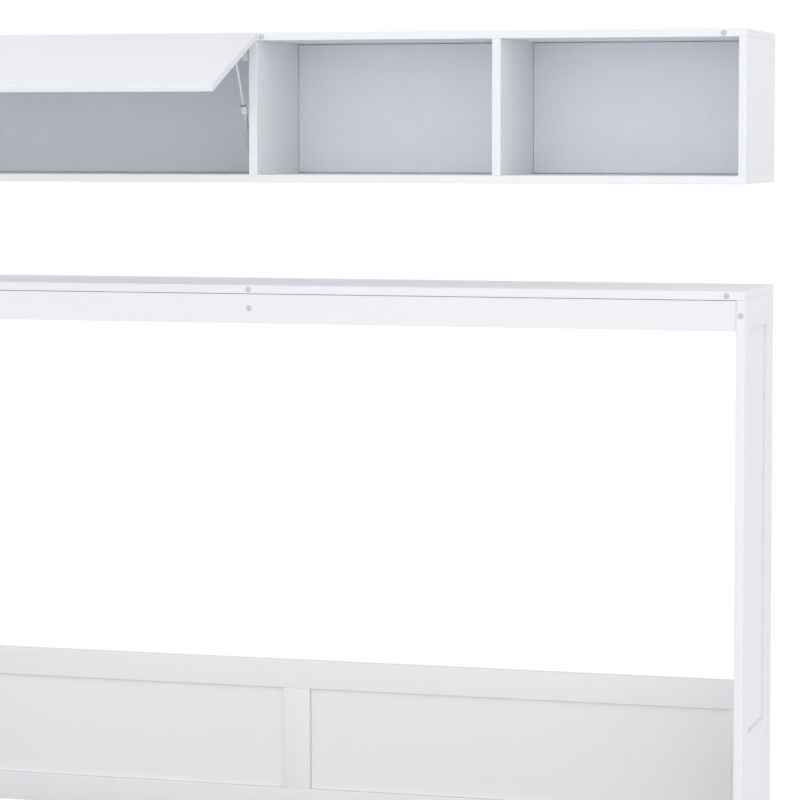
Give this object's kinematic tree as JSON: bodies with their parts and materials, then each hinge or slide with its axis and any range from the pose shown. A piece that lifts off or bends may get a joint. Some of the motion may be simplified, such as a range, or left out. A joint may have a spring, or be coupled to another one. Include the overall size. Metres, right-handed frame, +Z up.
{
  "type": "wall bed",
  "caption": "Horizontal fold-down wall bed in a white panelled frame with a slatted base, and a wall-hung cabinet above it with a lift-up flap and open bays.",
  "frame": {"origin": "on the floor, midway between the lowered bed's front edge and the wall, and midway between the sides", "axes": "+X to the right along the wall, +Y towards the wall, +Z up"},
  "size_m": [2.11, 1.68, 2.078],
  "materials": {
    "white_board": "satin white lacquered board",
    "back_panel": "matt white coated hardboard",
    "slat_wood": "clear coated layered beech",
    "frame_steel": "satin powder coat",
    "zinc_steel": "zinc plated"
  },
  "bodies": {
    "root": {"left_side_frame": "white_board", "left_side_inset": "white_board", "backboard_left_stile": "white_board", "backboard_left_panel": "white_board", "cabinet_left_side": "white_board", "left_lift_fitting": "zinc_steel", "flap_hinge_arm_left": "zinc_steel", "flap_strut_foot_left": "zinc_steel", "right_side_frame": "white_board", "right_side_inset": "white_board", "backboard_right_stile": "white_board", "backboard_right_panel": "white_board", "cabinet_right_side": "white_board", "right_lift_fitting": "zinc_steel", "flap_hinge_arm_right": "zinc_steel", "flap_strut_foot_right": "zinc_steel", "top_board": "white_board", "front_rail": "white_board", "rear_top_rail": "white_board", "rear_floor_rail": "white_board", "backboard_top_rail": "white_board", "backboard_bottom_rail": "white_board", "backboard_centre_stile": "white_board", "plinth_panel": "white_board", "cabinet_top": "white_board", "cabinet_bottom": "white_board", "cabinet_flap_divider": "white_board", "cabinet_open_divider": "white_board", "cabinet_hanging_rail": "white_board", "cabinet_back_panel": "back_panel"},
    "bed": {"bed_front_rail": "frame_steel", "bed_rear_rail": "frame_steel", "bed_centre_beam": "frame_steel", "bed_left_rail": "frame_steel", "bed_right_rail": "frame_steel", "slats_rear": "slat_wood", "slats_front": "slat_wood", "bed_panel_frame": "white_board", "bed_panel_left_inset": "white_board", "bed_panel_right_inset": "white_board", "bed_left_pivot_plate": "zinc_steel", "bed_right_pivot_plate": "zinc_steel", "left_leg_bracket": "zinc_steel", "right_leg_bracket": "zinc_steel"},
    "flap": {"flap_door": "white_board", "flap_hinge_cup_left": "zinc_steel", "flap_hinge_cup_right": "zinc_steel", "flap_strut_head_left": "zinc_steel", "flap_strut_head_right": "zinc_steel"},
    "left_leg": {"left_leg": "frame_steel"},
    "bed_strut_tube_left": {"bed_strut_tube_left": "frame_steel"},
    "bed_strut_rod_left": {"bed_strut_rod_left": "zinc_steel"},
    "flap_strut_tube_left": {"flap_strut_tube_left": "frame_steel"},
    "flap_strut_rod_left": {"flap_strut_rod_left": "zinc_steel"},
    "right_leg": {"right_leg": "frame_steel"},
    "bed_strut_tube_right": {"bed_strut_tube_right": "frame_steel"},
    "bed_strut_rod_right": {"bed_strut_rod_right": "zinc_steel"},
    "flap_strut_tube_right": {"flap_strut_tube_right": "frame_steel"},
    "flap_strut_rod_right": {"flap_strut_rod_right": "zinc_steel"}
  },
  "joints": [
    {"name": "bed_fold", "type": "hinge", "parent": "root", "child": "bed", "pos_m": [0, 0.518, 0.19], "axis": [-1, 0, 0], "range_deg": [0, 90]},
    {"name": "left_leg_fold", "type": "hinge", "parent": "bed", "child": "left_leg", "pos_m": [-0.8, -0.74, 0.13], "axis": [-1, 0, 0], "range_deg": [-90, 0]},
    {"name": "bed_strut_swing_left", "type": "hinge", "parent": "root", "child": "bed_strut_tube_left", "pos_m": [-1.0185, 0.75, 0.56], "axis": [1, 0, 0], "range_deg": [0, 2.84]},
    {"name": "bed_strut_stroke_left", "type": "slide", "parent": "bed_strut_tube_left", "child": "bed_strut_rod_left", "axis": [0, -0.4741, -0.8805], "range_m": [0, 0.0814]},
    {"name": "right_leg_fold", "type": "hinge", "parent": "bed", "child": "right_leg", "pos_m": [0.8, -0.74, 0.13], "axis": [-1, 0, 0], "range_deg": [-90, 0]},
    {"name": "bed_strut_swing_right", "type": "hinge", "parent": "root", "child": "bed_strut_tube_right", "pos_m": [1.0185, 0.75, 0.56], "axis": [1, 0, 0], "range_deg": [0, 2.84]},
    {"name": "bed_strut_stroke_right", "type": "slide", "parent": "bed_strut_tube_right", "child": "bed_strut_rod_right", "axis": [0, -0.4741, -0.8805], "range_m": [0, 0.0814]},
    {"name": "flap_lift", "type": "hinge", "parent": "root", "child": "flap", "pos_m": [0, 0.487, 2.07], "axis": [1, 0, 0], "range_deg": [0, 68]},
    {"name": "flap_strut_swing_left", "type": "hinge", "parent": "root", "child": "flap_strut_tube_left", "pos_m": [-1.03, 0.552, 1.8], "axis": [1, 0, 0], "range_deg": [-14.48, 0]},
    {"name": "flap_strut_stroke_left", "type": "slide", "parent": "flap_strut_tube_left", "child": "flap_strut_rod_left", "axis": [0, -0.4432, 0.8964], "range_m": [-0.0399, 0]},
    {"name": "flap_strut_swing_right", "type": "hinge", "parent": "root", "child": "flap_strut_tube_right", "pos_m": [-0.0065, 0.552, 1.8], "axis": [1, 0, 0], "range_deg": [-14.48, 0]},
    {"name": "flap_strut_stroke_right", "type": "slide", "parent": "flap_strut_tube_right", "child": "flap_strut_rod_right", "axis": [0, -0.4432, 0.8964], "range_m": [-0.0399, 0]}
  ],
  "couplings": [
    {"joint": "left_leg_fold", "follows": "bed_fold", "ratio": -1},
    {"joint": "bed_strut_swing_left", "follows": "bed_fold", "ratio": 0.031527},
    {"joint": "bed_strut_stroke_left", "follows": "bed_fold", "m_per_rad": 0.051759},
    {"joint": "right_leg_fold", "follows": "bed_fold", "ratio": -1},
    {"joint": "bed_strut_swing_right", "follows": "bed_fold", "ratio": 0.031527},
    {"joint": "bed_strut_stroke_right", "follows": "bed_fold", "m_per_rad": 0.051759},
    {"joint": "flap_strut_swing_left", "follows": "flap_lift", "ratio": -0.2129},
    {"joint": "flap_strut_stroke_left", "follows": "flap_lift", "m_per_rad": -0.033576},
    {"joint": "flap_strut_swing_right", "follows": "flap_lift", "ratio": -0.2129},
    {"joint": "flap_strut_stroke_right", "follows": "flap_lift", "m_per_rad": -0.033576}
  ]
}
